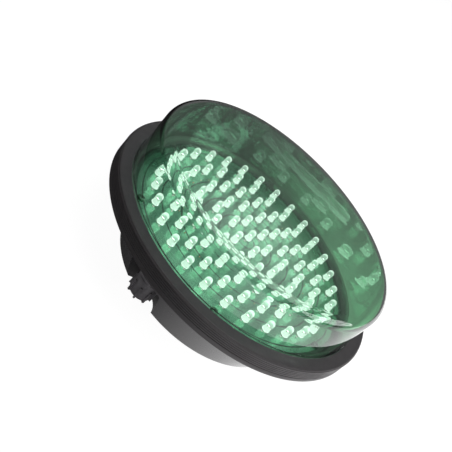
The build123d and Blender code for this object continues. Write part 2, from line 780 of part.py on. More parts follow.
def link_shell(pin_tail):
    """A two-pin header, its open shell facing +Z and its pins reaching pin_tail below z = 0."""
    with BuildPart() as shell:
        Box(shell_x, shell_y, shell_z, align=BOTTOM)
        with Locations((0, 0, shell_floor)):
            Box(shell_hole_x, shell_hole_y, shell_z, align=BOTTOM, mode=Mode.SUBTRACT)
        with GridLocations(link_pin_pitch, 1, 2, 1):
            Box(link_pin, link_pin, shell_floor + pin_length, align=BOTTOM)
            if pin_tail > 0:
                Box(link_pin, link_pin, pin_tail, align=TOP)
    return shell.part


def link_plug():
    """A two-way plug that fits the shell: sockets in its underside, wire holes in its top."""
    with BuildPart() as plug:
        Box(plug_x, plug_y, plug_z, align=BOTTOM)
        with GridLocations(link_pin_pitch, 1, 2, 1):
            Box(link_pin + 0.2, link_pin + 0.2, pin_length, align=BOTTOM, mode=Mode.SUBTRACT)
            with Locations((0, 0, plug_z)):
                Cylinder(link_wire_r + 0.05, wire_hole_depth, align=TOP, mode=Mode.SUBTRACT)
    return plug.part


header_solid = link_shell(0)
socket_solid = link_shell(board_t + 1.0)
plug_solid = link_plug()
lower_plug_z = driver_top_z + plug_lift
upper_plug_z = board_z - plug_lift

with BuildPart() as link_header:
    with Locations((link_x, link_y, driver_top_z)):
        add(header_solid)
link_header.part.label = "link_header"
export_step(link_header.part, "parts/link_header.step")

with BuildPart() as link_plug_lower:
    with Locations((link_x, link_y, lower_plug_z)):
        add(plug_solid)
link_plug_lower.part.label = "link_plug_lower"
export_step(link_plug_lower.part, "parts/link_plug_lower.step")

with BuildPart() as link_socket:
    with Locations(Location((link_x, link_y, board_z), (180, 0, 0))):
        add(socket_solid)
link_socket.part.label = "link_socket"
export_step(link_socket.part, "parts/link_socket.step")

with BuildPart() as link_plug_upper:
    with Locations(Location((link_x, link_y, upper_plug_z), (180, 0, 0))):
        add(plug_solid)
link_plug_upper.part.label = "link_plug_upper"
export_step(link_plug_upper.part, "parts/link_plug_upper.step")

wire_low_z = lower_plug_z + plug_z - wire_hole_depth + 0.1
wire_high_z = upper_plug_z - plug_z + wire_hole_depth - 0.1
wire_mid_z = (wire_low_z + wire_high_z) / 2

with BuildPart() as link_wires:
    for side in (-1, 1):
        wire_x = side * link_pin_pitch / 2
        with BuildLine() as wire_path:
            FilletPolyline((wire_x, link_y, wire_low_z), (wire_x, link_y, wire_low_z + wire_straight),
                           (wire_x, link_y + wire_bow, wire_mid_z),
                           (wire_x, link_y, wire_high_z - wire_straight),
                           (wire_x, link_y, wire_high_z), radius=4.0)
        with BuildSketch(Plane((wire_x, link_y, wire_low_z))):
            Circle(link_wire_r)
        sweep(path=wire_path.line)
link_wires.part.label = "link_wires"
export_step(link_wires.part, "parts/link_wires.step")

# ---- Cable gland in its pocket, pointing down along the module's axis ----

flange_seal_z = pocket_floor_z - washer_t
hex_z = flange_seal_z - gland_flange_t
inner_thread_top_z = pocket_floor_z + housing_t + lock_nut_t + 2.0
bush_end_z = body_end_z - bush_proud
ring_z = bush_end_z - ring_t
cap_shoulder_z = ring_z - 0.1

with BuildPart() as gland_flange_seal:
    with Locations((0, gland_y, flange_seal_z)):
        Cylinder(washer_r, washer_t, align=BOTTOM)
        Cylinder(gland_thread_r + 0.1, washer_t, align=BOTTOM, mode=Mode.SUBTRACT)
gland_flange_seal.part.label = "gland_flange_seal"
export_step(gland_flange_seal.part, "parts/gland_flange_seal.step")

with BuildPart() as gland_body:
    with Locations((0, gland_y, body_end_z)):
        Cylinder(gland_thread_r, inner_thread_top_z - body_end_z, align=BOTTOM)
    with BuildSketch(Plane.XY.offset(hex_z)):
        with Locations((0, gland_y)):
            RegularPolygon(hex_across_flats / 2, 6, major_radius=False)
    extrude(amount=gland_flange_t)
    with Locations((0, gland_y, body_end_z)):
        Cylinder(gland_bore_r, inner_thread_top_z - body_end_z, align=BOTTOM, mode=Mode.SUBTRACT)
        Cylinder(bush_r + 0.05, bush_length - bush_proud, align=BOTTOM, mode=Mode.SUBTRACT)
gland_body.part.label = "gland_body"
export_step(gland_body.part, "parts/gland_body.step")

with BuildPart() as gland_lock_nut:
    with BuildSketch(Plane.XY.offset(pocket_floor_z + housing_t)):
        with Locations((0, gland_y)):
            RegularPolygon(hex_across_flats / 2, 6, major_radius=False)
            Circle(gland_thread_r + thread_gap, mode=Mode.SUBTRACT)
    extrude(amount=lock_nut_t)
gland_lock_nut.part.label = "gland_lock_nut"
export_step(gland_lock_nut.part, "parts/gland_lock_nut.step")

with BuildPart() as gland_seal:
    with Locations((0, gland_y, bush_end_z)):
        Cylinder(bush_r, bush_length, align=BOTTOM)
        Cylinder(cable_bore_r, bush_length, align=BOTTOM, mode=Mode.SUBTRACT)
gland_seal.part.label = "gland_seal"
export_step(gland_seal.part, "parts/gland_seal.step")

with BuildPart() as gland_thrust_ring:
    with Locations((0, gland_y, ring_z)):
        Cylinder(ring_r, ring_t, align=BOTTOM)
        Cylinder(ring_hole_r, ring_t, align=BOTTOM, mode=Mode.SUBTRACT)
gland_thrust_ring.part.label = "gland_thrust_ring"
export_step(gland_thrust_ring.part, "parts/gland_thrust_ring.step")

cap_nose_r = cap_r - cap_taper

with BuildPart() as gland_cap_nut:
    with BuildSketch(gland_plane):
        with BuildLine():
            Polyline((0, cap_end_z), (cap_nose_r - 1.0, cap_end_z), (cap_nose_r, cap_end_z + 0.9),
                     (cap_r, cap_end_z + cap_rib_length), (cap_r, cap_top_z - 0.5),
                     (cap_r - 0.5, cap_top_z), (0, cap_top_z), (0, cap_end_z))
        make_face()
    revolve(axis=gland_axis)
    with BuildSketch(Plane.XY.offset(cap_end_z + 0.4)):
        with Locations((0, gland_y)):
            with PolarLocations(cap_nose_r, cap_rib_count, 22.5):
                Rectangle(2 * (cap_rib_r - cap_nose_r), cap_rib_width)
    extrude(amount=cap_rib_length + 1.2)
    with Locations((0, gland_y, cap_end_z)):
        Cylinder(cap_mouth_r, cap_top_z, align=BOTTOM, mode=Mode.SUBTRACT)
    with Locations((0, gland_y, cap_shoulder_z)):
        Cylinder(gland_thread_r + thread_gap, cap_top_z, align=BOTTOM, mode=Mode.SUBTRACT)
gland_cap_nut.part.label = "gland_cap_nut"
export_step(gland_cap_nut.part, "parts/gland_cap_nut.step")
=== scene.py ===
import json
import math

import bmesh
import bpy
from mathutils import Matrix, Vector


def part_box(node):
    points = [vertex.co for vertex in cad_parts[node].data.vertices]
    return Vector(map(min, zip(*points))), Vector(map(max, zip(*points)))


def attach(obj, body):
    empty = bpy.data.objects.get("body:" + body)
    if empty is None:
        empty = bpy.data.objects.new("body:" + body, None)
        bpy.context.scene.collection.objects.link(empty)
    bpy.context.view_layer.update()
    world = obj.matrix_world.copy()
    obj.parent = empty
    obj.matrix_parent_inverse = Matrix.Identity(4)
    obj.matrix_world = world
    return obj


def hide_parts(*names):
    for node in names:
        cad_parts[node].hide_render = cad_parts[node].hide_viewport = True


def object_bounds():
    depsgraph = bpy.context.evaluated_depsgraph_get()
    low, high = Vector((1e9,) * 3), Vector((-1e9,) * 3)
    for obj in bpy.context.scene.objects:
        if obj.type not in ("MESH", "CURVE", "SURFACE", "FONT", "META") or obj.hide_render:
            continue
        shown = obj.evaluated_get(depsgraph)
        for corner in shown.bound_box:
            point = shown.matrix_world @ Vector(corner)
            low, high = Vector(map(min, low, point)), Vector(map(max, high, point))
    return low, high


# A lit green 200 mm LED signal module standing on its flat back. Metres, in the CAD frame.

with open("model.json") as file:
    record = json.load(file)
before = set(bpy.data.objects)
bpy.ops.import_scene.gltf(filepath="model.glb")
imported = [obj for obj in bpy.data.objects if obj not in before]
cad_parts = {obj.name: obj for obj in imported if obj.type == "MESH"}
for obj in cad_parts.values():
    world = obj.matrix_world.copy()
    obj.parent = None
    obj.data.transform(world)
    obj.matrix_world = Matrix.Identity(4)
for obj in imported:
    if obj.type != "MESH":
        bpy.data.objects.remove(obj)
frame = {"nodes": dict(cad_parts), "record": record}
cad_low, cad_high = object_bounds()

MM = 0.001
ON_AXIS = 1e-7                            # a point nearer to the axis than this is on it
BODY = "module"

# ---- Sizes read from the frame ----

mounts = {m["name"]: m for m in frame["record"]["mounts"]}
barrel_r = mounts["lens_barrel"]["dims"]["r_mm"] * MM
lens_low, lens_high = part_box("front_lens")
gasket_low, gasket_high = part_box("rim_gasket")
board_low, board_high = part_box("led_board")
led_low, led_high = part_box("led_center")

# ---- Sizes of the lens, from the axis outward and from the back forward ----

lens_wall = 2.4 * MM
shoulder_r = 8.0 * MM                     # rounding between the barrel and the domed face
DOME_SLOPE = 8.0                          # degrees, the slope of the face where the rounding meets it
shoulder_z = lens_low.z + 35.6 * MM       # where the straight barrel ends
foot_r = barrel_r + 0.6 * MM              # land at the foot of the barrel, under the gasket's lip
foot_top = gasket_high.z + 1.0 * MM
flange_top = gasket_high.z - 2.0 * MM     # the gasket's lip lies on the lens flange here
lens_inner_r = barrel_r - lens_wall

# ---- Sizes of the LED field ----

RING_COUNTS = (6, 12, 18, 24, 29)
RING_TURNS = (-3.0, -3.0, -3.0, -3.0, -4.8)   # degrees, from the gland's side
ring_pitch = 15.68 * MM
led_r = 2.5 * MM
led_base = led_low.z
led_length = led_high.z - led_low.z
copper_r = 90.5 * MM                      # the copper under the board's mask ends here
GAP_SHARE = 0.035                         # half the bare gap between two rings, in ring pitches

# ---- Camera: the photograph's viewing angle ----

VIEW_AZIMUTH = 21.0
VIEW_ELEVATION = 30.0
VIEW_ROLL = 45.0
VIEW_DISTANCE = 0.456
VIEW_SHIFT = (0.0371, 0.0124)   # the aim is this far left of and below the shoulder plane's centre
LENS_MM = 52.35
SENSOR_MM = 36.0
CLIP = (0.01, 20.0)             # nearest and furthest that the camera sees


def make_camera():
    """Looks at the lens's shoulder plane from the front, above and right, rolled."""
    azimuth, elevation = math.radians(VIEW_AZIMUTH), math.radians(VIEW_ELEVATION)
    back = Vector((math.sin(azimuth) * math.cos(elevation),
                   -math.cos(azimuth) * math.cos(elevation), math.sin(elevation)))
    turn = (-back).to_track_quat("-Z", "Y").to_matrix() @ Matrix.Rotation(math.radians(VIEW_ROLL), 3, "Z")
    right, up = turn.col[0], turn.col[1]
    centre = Vector((0, 0, shoulder_z))
    camera = bpy.data.objects.new("camera", bpy.data.cameras.new("camera"))
    camera.data.lens = LENS_MM
    camera.data.sensor_width = SENSOR_MM
    camera.matrix_world = Matrix.Translation(
        centre - VIEW_SHIFT[0] * right - VIEW_SHIFT[1] * up + VIEW_DISTANCE * back) @ turn.to_4x4()
    bpy.context.scene.collection.objects.link(camera)
    bpy.context.scene.camera = camera
    camera.data.clip_start, camera.data.clip_end = CLIP


# ---- Mesh tools ----

def piece(name, mesh, material, replaces=()):
    """Links a finished mesh as one piece of the object, riding on the module."""
    obj = bpy.data.objects.new(name, mesh)
    bpy.context.scene.collection.objects.link(obj)
    mesh.materials.append(material)
    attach(obj, BODY)
    if replaces:
        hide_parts(*replaces)
    return obj


def finish_mesh(name, bm, sharp_angle=35.0):
    """A mesh from a bmesh, smooth except at edges sharper than the angle."""
    bmesh.ops.recalc_face_normals(bm, faces=bm.faces)
    mesh = bpy.data.meshes.new(name)
    bm.to_mesh(mesh)
    bm.free()
    mesh.polygons.foreach_set("use_smooth", [True] * len(mesh.polygons))
    mesh.set_sharp_from_angle(angle=math.radians(sharp_angle))
    return mesh


def arc(centre, radius, start, end, steps):
    """Points (r, z) of an arc in a profile, angles in degrees from outward."""
    points = []
    for i in range(steps + 1):
        angle = math.radians(start + (end - start) * i / steps)
        points.append((centre[0] + radius * math.cos(angle), centre[1] + radius * math.sin(angle)))
    return points


def add_lathe(bm, profile, segments, place=Matrix.Identity(4), closed=True):
    """Turns a profile of (r, z) points round Z. A point on the axis becomes one vertex."""
    rings = []
    for r, z in profile:
        if r < ON_AXIS:
            rings.append([bm.verts.new(place @ Vector((0, 0, z)))])
        else:
            rings.append([
                bm.verts.new(place @ Vector((r * math.cos(a), r * math.sin(a), z)))
                for a in (2 * math.pi * i / segments for i in range(segments))
            ])
    pairs = list(zip(rings, rings[1:]))
    if closed and len(rings[0]) > 1 and len(rings[-1]) > 1:
        pairs.append((rings[-1], rings[0]))
    for lower, upper in pairs:
        for i in range(segments):
            j = (i + 1) % segments
            a, b = lower[i % len(lower)], lower[j % len(lower)]
            c, d = upper[j % len(upper)], upper[i % len(upper)]
            corners = [v for k, v in enumerate((a, b, c, d)) if v not in (a, b, c, d)[:k]]
            if len(corners) >= 3:
                bm.faces.new(corners)


def add_box(bm, low, high, place=Matrix.Identity(4)):
    """A box between two corners."""
    made = bmesh.ops.create_cube(bm, size=1.0)["verts"]
    low, high = Vector(low), Vector(high)
    for v in made:
        v.co = place @ Vector([low[k] + (v.co[k] + 0.5) * (high[k] - low[k]) for k in range(3)])


def led_places():
    """For each LED node: its name and the place of each LED, local X pointing outward."""
    rings = [("led_center", [Matrix.Translation((0, 0, led_base))])]
    for index, (count, turn) in enumerate(zip(RING_COUNTS, RING_TURNS)):
        places = []
        for i in range(count):
            angle = math.radians(-90 + turn + 360 * i / count)
            places.append(Matrix.Rotation(angle, 4, "Z")
                          @ Matrix.Translation((ring_pitch * (index + 1), 0, led_base)))
        rings.append((f"led_ring_{index + 1}", places))
    return rings


# ---- Material tools ----

MIX_COLOURS = (6, 7)            # the colour inputs and output among the Mix node's many sockets
MIX_COLOUR_OUT = 2


class Nodes:
    """A node material under construction: a Principled shader and short ways to add nodes."""

    def __init__(self, name):
        self.mat = bpy.data.materials.new(name)
        self.mat.use_nodes = True
        self.tree = self.mat.node_tree
        self.shader = self.tree.nodes["Principled BSDF"]
        self.output = self.tree.nodes["Material Output"]
        self.place = self.add("ShaderNodeTexCoord").outputs["Object"]

    def add(self, kind, **settings):
        node = self.tree.nodes.new(kind)
        for key, value in settings.items():
            setattr(node, key, value)
        return node

    def link(self, source, target):
        self.tree.links.new(source, target)

    def feed(self, value, target):
        """Sets an input socket to a value or to what another node gives."""
        if isinstance(value, bpy.types.NodeSocket):
            self.link(value, target)
        else:
            target.default_value = value

    def put(self, socket, value):
        """Sets an input of the shader."""
        self.feed(value, self.shader.inputs[socket])

    def noise(self, scale, detail=4.0, rough=0.55, stretch=None, distortion=0.0):
        """Noise of that many cycles per metre, stretched along axes if asked."""
        node = self.add("ShaderNodeTexNoise")
        node.inputs["Scale"].default_value = scale
        node.inputs["Detail"].default_value = detail
        node.inputs["Roughness"].default_value = rough
        node.inputs["Distortion"].default_value = distortion
        self.link(self.stretched(stretch), node.inputs["Vector"])
        return node.outputs["Fac"]

    def stretched(self, stretch):
        """The object's coordinates, scaled along the axes if asked."""
        if stretch is None:
            return self.place
        mapping = self.add("ShaderNodeMapping")
        mapping.inputs["Scale"].default_value = stretch
        self.link(self.place, mapping.inputs["Vector"])
        return mapping.outputs["Vector"]

    def ramp(self, factor, low, high, from_low=0.0, from_high=1.0):
        """factor mapped to a number between low and high."""
        node = self.add("ShaderNodeMapRange")
        node.inputs["From Min"].default_value = from_low
        node.inputs["From Max"].default_value = from_high
        node.inputs["To Min"].default_value = low
        node.inputs["To Max"].default_value = high
        self.link(factor, node.inputs["Value"])
        return node.outputs["Result"]

    def blend(self, factor, first, second):
        """A colour between two colours, each a tuple or a socket."""
        node = self.add("ShaderNodeMix", data_type="RGBA")
        self.link(factor, node.inputs[0])
        for slot, value in zip(MIX_COLOURS, (first, second)):
            colour = (*value, 1.0) if isinstance(value, tuple) else value
            self.feed(colour, node.inputs[slot])
        return node.outputs[MIX_COLOUR_OUT]

    def math(self, operation, first, second=0.0):
        """The result of one operation on two numbers, each a value or a socket."""
        node = self.add("ShaderNodeMath", operation=operation)
        for slot, value in enumerate((first, second)):
            self.feed(value, node.inputs[slot])
        return node.outputs[0]

    def bump(self, height, distance, strength=1.0):
        """Bumps on the shader's surface, distance metres high where height is 1."""
        node = self.add("ShaderNodeBump")
        node.inputs["Distance"].default_value = distance
        node.inputs["Strength"].default_value = strength
        self.link(height, node.inputs["Height"])
        self.link(node.outputs["Normal"], self.shader.inputs["Normal"])

    def radius(self):
        """Distance from the module's axis, and the three coordinates."""
        parts = self.add("ShaderNodeSeparateXYZ")
        self.link(self.place, parts.inputs[0])
        x2 = self.math("MULTIPLY", parts.outputs[0], parts.outputs[0])
        y2 = self.math("MULTIPLY", parts.outputs[1], parts.outputs[1])
        return self.math("SQRT", self.math("ADD", x2, y2)), parts.outputs


def moulded(name, colour, roughness=0.45, second=None, grain=1800.0, depth=0.00003, metallic=0.0):
    """A plain moulded, painted or sintered surface: mottled colour, uneven gloss and fine grain."""
    n = Nodes(name)
    shade = second or tuple(c * 0.72 for c in colour)
    n.put("Base Color", n.blend(n.ramp(n.noise(grain / 6), 0.0, 1.0, 0.35, 0.65), colour, shade))
    n.put("Roughness", n.ramp(n.noise(grain / 9, 3), roughness - 0.08, roughness + 0.1, 0.3, 0.7))
    n.put("Metallic", metallic)
    n.bump(n.noise(grain, 3), depth)
    return n.mat


def clear_glass(name, roughness=(0.012, 0.07)):
    """Clear moulded polycarbonate with faint handling marks. Long ways through it look dark."""
    n = Nodes(name)
    marks = n.ramp(n.noise(38, 5, 0.6, distortion=0.6), 0.0, 1.0, 0.55, 0.8)
    fine = n.ramp(n.noise(900, 2, 0.5, stretch=(1.0, 1.0, 0.2)), 0.0, 1.0, 0.62, 0.8)
    edge = n.add("ShaderNodeLayerWeight")
    edge.inputs["Blend"].default_value = 0.5
    thick = n.ramp(edge.outputs["Facing"], 0.0, 1.0, 0.55, 0.88)
    n.put("Base Color", n.blend(thick, (0.93, 0.97, 0.95), (0.02, 0.045, 0.032)))
    n.put("Roughness", n.ramp(n.math("ADD", marks, n.math("MULTIPLY", fine, 0.4)), *roughness))
    n.put("IOR", 1.585)
    n.put("Transmission Weight", 1.0)
    n.bump(n.noise(60, 2), 0.00002, 0.5)
    return n


def let_lamps_through(n, surface, tint):
    """Lets the studio's light through the plastic, past the shader that the eye sees."""
    through = n.add("ShaderNodeBsdfTransparent")
    through.inputs["Color"].default_value = (*tint, 1.0)
    lamp = n.add("ShaderNodeLightPath")
    mix = n.add("ShaderNodeMixShader")
    n.link(lamp.outputs["Is Shadow Ray"], mix.inputs[0])
    n.link(surface, mix.inputs[1])
    n.link(through.outputs[0], mix.inputs[2])
    n.link(mix.outputs[0], n.output.inputs["Surface"])
    return n.mat


LAMP_TINT = (0.90, 0.94, 0.93)  # what is left of a lamp's light behind the plastic


def clear_lens_material():
    """The lens, apart from the inner face of its barrel."""
    n = clear_glass("clear_polycarbonate")
    return let_lamps_through(n, n.shader.outputs[0], LAMP_TINT)


def barrel_inside_material():
    """The inner face of the barrel: from inside a dark green mirror-like face with painted green LED light
    and glow, painted brighter towards +X; clear from outside.
    """
    n = clear_glass("clear_polycarbonate_inside")
    inside = n.add("ShaderNodeBsdfPrincipled")
    # Painted green LED light: the clear wall's inner face gets a green mirror colour and a green glow.
    shade = n.blend(n.ramp(n.noise(30, 4), 0.0, 1.0, 0.3, 0.7), (0.42, 0.66, 0.50), (0.24, 0.44, 0.31))
    _, axes = n.radius()
    # Painted side light: colour and glow get brighter towards +X and darker towards -X.
    side_light = n.ramp(axes[0], 0.0, 1.0, -0.07, 0.05)
    n.link(n.blend(side_light, (0.10, 0.17, 0.13), shade), inside.inputs["Base Color"])
    n.link(n.ramp(n.noise(45, 3), 0.005, 0.03, 0.3, 0.7), inside.inputs["Roughness"])
    inside.inputs["Metallic"].default_value = 0.9
    inside.inputs["Emission Color"].default_value = (0.42, 1.0, 0.56, 1.0)
    n.link(n.ramp(side_light, 0.02, 0.21), inside.inputs["Emission Strength"])
    side = n.add("ShaderNodeNewGeometry")
    mix = n.add("ShaderNodeMixShader")
    n.link(side.outputs["Backfacing"], mix.inputs[0])
    n.link(inside.outputs[0], mix.inputs[1])
    n.link(n.shader.outputs[0], mix.inputs[2])
    return let_lamps_through(n, mix.outputs[0], LAMP_TINT)


def rubber_material():
    """Black moulded rubber: matt, slightly mottled, with pale dust caught in patches."""
    n = Nodes("black_rubber")
    dust = n.ramp(n.noise(420, 6, 0.7), 0.0, 1.0, 0.60, 0.80)
    patches = n.ramp(n.noise(24, 3), 0.2, 1.0, 0.35, 0.7)
    base = n.blend(n.noise(160, 3), (0.042, 0.038, 0.041), (0.060, 0.055, 0.058))
    n.put("Base Color", n.blend(n.math("MULTIPLY", n.math("MULTIPLY", dust, patches), 0.35), base,
                                (0.13, 0.12, 0.12)))
    n.put("Roughness", n.ramp(n.noise(90, 4), 0.30, 0.48, 0.3, 0.7))
    n.put("Specular IOR Level", 0.4)
    n.bump(n.noise(2600, 3), 0.00003)
    return n.mat


def housing_material():
    """Black moulded plastic, glossy, with flow marks and scuffs; its rim inside the lens has painted green
    LED light and glow.
    """
    n = Nodes("black_glossy_plastic")
    r, axes = n.radius()
    # Painted green LED light on the rim inside the lens: green colour, metallic sheen and a green glow.
    inside_lens = n.math("LESS_THAN", r, lens_inner_r)
    inner = n.math("MULTIPLY", inside_lens, n.math("GREATER_THAN", axes[2], board_low.z))
    black = n.blend(n.noise(70, 4), (0.070, 0.067, 0.070), (0.088, 0.084, 0.088))
    n.put("Base Color", n.blend(inner, black, (0.10, 0.20, 0.13)))
    n.put("Metallic", n.ramp(inner, 0.0, 0.8))
    n.put("Emission Color", (0.22, 0.42, 0.28, 1.0))
    n.put("Emission Strength", n.ramp(inner, 0.0, 0.12))
    scuff = n.ramp(n.noise(700, 4, 0.6, stretch=(1.0, 1.0, 0.08)), 0.0, 1.0, 0.58, 0.75)
    n.put("Roughness", n.ramp(n.math("ADD", n.noise(26, 3), n.math("MULTIPLY", scuff, 0.5)), 0.12, 0.34,
                              0.35, 1.1))
    n.put("Specular IOR Level", 0.95)
    n.bump(n.noise(240, 2), 0.00004, 0.6)
    return n.mat


def led_board_material():
    """Glossy green solder mask: over copper under each ring of LEDs, over bare board between the rings."""
    n = Nodes("led_board_solder_mask")
    r, _ = n.radius()
    step = n.math("FRACT", n.math("DIVIDE", r, ring_pitch))
    gap = n.math("LESS_THAN", n.math("ABSOLUTE", n.math("SUBTRACT", step, 0.5)), GAP_SHARE)
    edge = n.math("GREATER_THAN", r, copper_r)
    bare = n.math("MAXIMUM", gap, edge)
    patch = n.ramp(n.noise(55, 4), 0.0, 1.0, 0.35, 0.65)
    copper = n.blend(patch, (0.26, 0.66, 0.42), (0.13, 0.40, 0.24))
    n.put("Base Color", n.blend(bare, copper, (0.012, 0.060, 0.030)))
    n.put("Metallic", n.ramp(bare, 0.75, 0.0))
    n.put("Roughness", n.ramp(n.noise(110, 3), 0.14, 0.28, 0.3, 0.7))
    n.put("Specular IOR Level", 0.8)
    n.put("Coat Weight", 0.5)
    n.put("Coat Roughness", 0.10)
    n.put("Coat IOR", 1.6)
    copper_step = n.math("MULTIPLY", bare, -1.0)
    n.bump(n.math("ADD", copper_step, n.math("MULTIPLY", n.noise(900, 2), 0.25)), 0.00004)
    return n.mat


def led_material():
    """Clear LED epoxy, a little cloudy with light."""
    n = Nodes("led_epoxy_lit")
    n.put("Base Color", (0.92, 1.0, 0.95, 1.0))
    n.put("Roughness", n.ramp(n.noise(900, 2), 0.03, 0.10))
    n.put("IOR", 1.53)
    n.put("Transmission Weight", 1.0)
    n.put("Emission Color", (0.70, 0.95, 0.79, 1.0))
    n.put("Emission Strength", 0.24)
    return n.mat


def glow_material():
    """The lit die and its reflector cup."""
    n = Nodes("led_die_glow")
    n.put("Base Color", (0.8, 1.0, 0.85, 1.0))
    n.put("Emission Color", (0.74, 1.0, 0.84, 1.0))
    n.put("Emission Strength", n.ramp(n.noise(3000, 1), 2.0, 2.8))
    return n.mat


def core_material():
    """Epoxy round the lead frame, full of scattered light."""
    n = Nodes("led_core_glow")
    n.put("Base Color", (0.5, 0.62, 0.54, 1.0))
    n.put("Emission Color", (0.66, 0.82, 0.72, 1.0))
    n.put("Emission Strength", n.ramp(n.noise(1200, 2), 0.5, 0.8))
    return n.mat


def metal_material(name, colour, roughness):
    """Plated metal with fine drawing lines and uneven gloss."""
    n = Nodes(name)
    n.put("Metallic", 1.0)
    n.put("Base Color", n.blend(n.noise(700, 3), colour, tuple(c * 0.8 for c in colour)))
    along = (1.0, 1.0, 0.1)
    n.put("Roughness", n.ramp(n.noise(1500, 3, stretch=along), roughness - 0.08, roughness + 0.12))
    n.bump(n.noise(4000, 2, stretch=along), 0.00001)
    return n.mat


# ---- The object's pieces ----

LENS_SEGMENTS = 256
GASKET_SEGMENTS = 288
LED_SEGMENTS = 28


def lens_profile():
    """Closed profile of the cup lens, the same walls as the CAD lens."""
    turn, edge_break, barrel_steps, shoulder_steps, dome_steps = 90 - DOME_SLOPE, 0.2 * MM, 6, 14, 26
    slope = math.radians(DOME_SLOPE)
    centre = (barrel_r - shoulder_r, shoulder_z)
    dome_edge = centre[0] + shoulder_r * math.sin(slope)
    dome_r = dome_edge / math.sin(slope)
    dome_centre = (0.0, centre[1] + (shoulder_r - dome_r) * math.cos(slope))
    outer = [(lens_high.x, lens_low.z), (lens_high.x, flange_top), (foot_r, flange_top)]
    outer += [(foot_r, foot_top - edge_break), (foot_r - edge_break, foot_top), (barrel_r, foot_top)]
    barrel_step = (shoulder_z - foot_top) / barrel_steps
    outer += [(barrel_r, foot_top + barrel_step * k) for k in range(1, barrel_steps)]
    outer += arc(centre, shoulder_r, 0, turn, shoulder_steps)
    outer += arc(dome_centre, dome_r, turn, 90, dome_steps)[1:-1] + [(0.0, dome_centre[1] + dome_r)]
    inner = [(0.0, dome_centre[1] + dome_r - lens_wall)]
    inner += arc(dome_centre, dome_r - lens_wall, 90, turn, dome_steps)[1:]
    inner += arc(centre, shoulder_r - lens_wall, turn, 0, shoulder_steps)[1:]
    inner += [(lens_inner_r, lens_low.z)]
    return outer, inner


def make_lens(material, wall_material):
    """The cup lens. Its second material is on the inner face of the barrel."""
    bm = bmesh.new()
    for profile in lens_profile():
        add_lathe(bm, profile, LENS_SEGMENTS, closed=False)
    bmesh.ops.bridge_loops(bm, edges=[e for e in bm.edges if e.is_boundary])
    inside_r, inside_top = barrel_r - 2 * MM, shoulder_z + 2 * MM
    for face in bm.faces:
        middle = face.calc_center_median()
        if math.hypot(middle.x, middle.y) < inside_r and middle.z < inside_top:
            face.material_index = 1
    lens = piece("clear_lens", finish_mesh("clear_lens", bm), material, ("front_lens",))
    lens.data.materials.append(wall_material)


def make_gasket(material):
    """The ribbed rubber rim, its corners rounded."""
    front, back = gasket_high.z, gasket_low.z
    front_corner, lip_corner, band_corner, rib_steps = 0.8 * MM, 0.5 * MM, 0.7 * MM, 8
    pitch, ribs, height = 1.5 * MM, 5, 0.6 * MM
    wall_r, band_r = 110.3 * MM, -gasket_low.x
    lip_r, groove_r, back_r = foot_r + 0.2 * MM, lens_high.x + 0.2 * MM, 98.2 * MM
    rib_top, back_lip = front - front_corner, back + 2.2 * MM
    band_top = rib_top - ribs * pitch - 0.4 * MM
    corner_r = wall_r - front_corner
    profile = [(lip_r, flange_top), (lip_r, front - lip_corner)]
    profile += arc((lip_r + lip_corner, front - lip_corner), lip_corner, 180, 90, 4)[1:]
    profile += [(lip_r + (corner_r - lip_r) * k / 5, front) for k in range(1, 5)]
    profile += arc((corner_r, rib_top), front_corner, 90, 0, 6)
    for rib in range(ribs):
        top = rib_top - rib * pitch
        for k in range(1, rib_steps):
            angle = math.pi * k / rib_steps
            profile.append((wall_r + height * math.sin(angle) ** 0.8,
                            top - pitch * (1 - math.cos(angle)) / 2))
        profile.append((wall_r, top - pitch))
    profile += [(band_r - 0.15 * MM, band_top + 0.1 * MM), (band_r, band_top - 0.2 * MM)]
    profile += arc((band_r - band_corner, back + band_corner), band_corner, 0, -90, 5)
    profile += [(back_r + lip_corner, back)]
    profile += arc((back_r + lip_corner, back + lip_corner), lip_corner, 270, 180, 4)[1:]
    profile += [(back_r, back_lip), (groove_r, back_lip), (groove_r, flange_top)]
    bm = bmesh.new()
    add_lathe(bm, profile, GASKET_SEGMENTS)
    piece("ribbed_rim_gasket", finish_mesh("ribbed_rim_gasket", bm, 50), material,
          ("rim_gasket",))


def led_profile():
    """Profile of a 5 mm LED: flange, barrel and round tip."""
    flange_r, flange_h, edge_break, barrel_end = 2.9 * MM, 1.0 * MM, 0.15 * MM, 0.6
    tip = led_length - led_r
    points = [(0.0, 0.0), (flange_r - edge_break, 0.0), (flange_r, edge_break),
              (flange_r, flange_h - 0.2 * MM), (flange_r - 0.2 * MM, flange_h),
              (led_r + 0.05 * MM, flange_h), (led_r, flange_h + 0.1 * MM), (led_r, tip * barrel_end)]
    return points + arc((0.0, tip), led_r, 0, 90, 9)[:-1] + [(0.0, led_length)]


def add_led_body(bm, profile, place):
    """One LED body, with the flat on its flange."""
    flat_x = 2.58 * MM
    start = len(bm.verts)
    add_lathe(bm, profile, LED_SEGMENTS, closed=False)
    bm.verts.ensure_lookup_table()
    for v in bm.verts[start:]:
        v.co.x = min(v.co.x, flat_x)
        v.co = place @ v.co


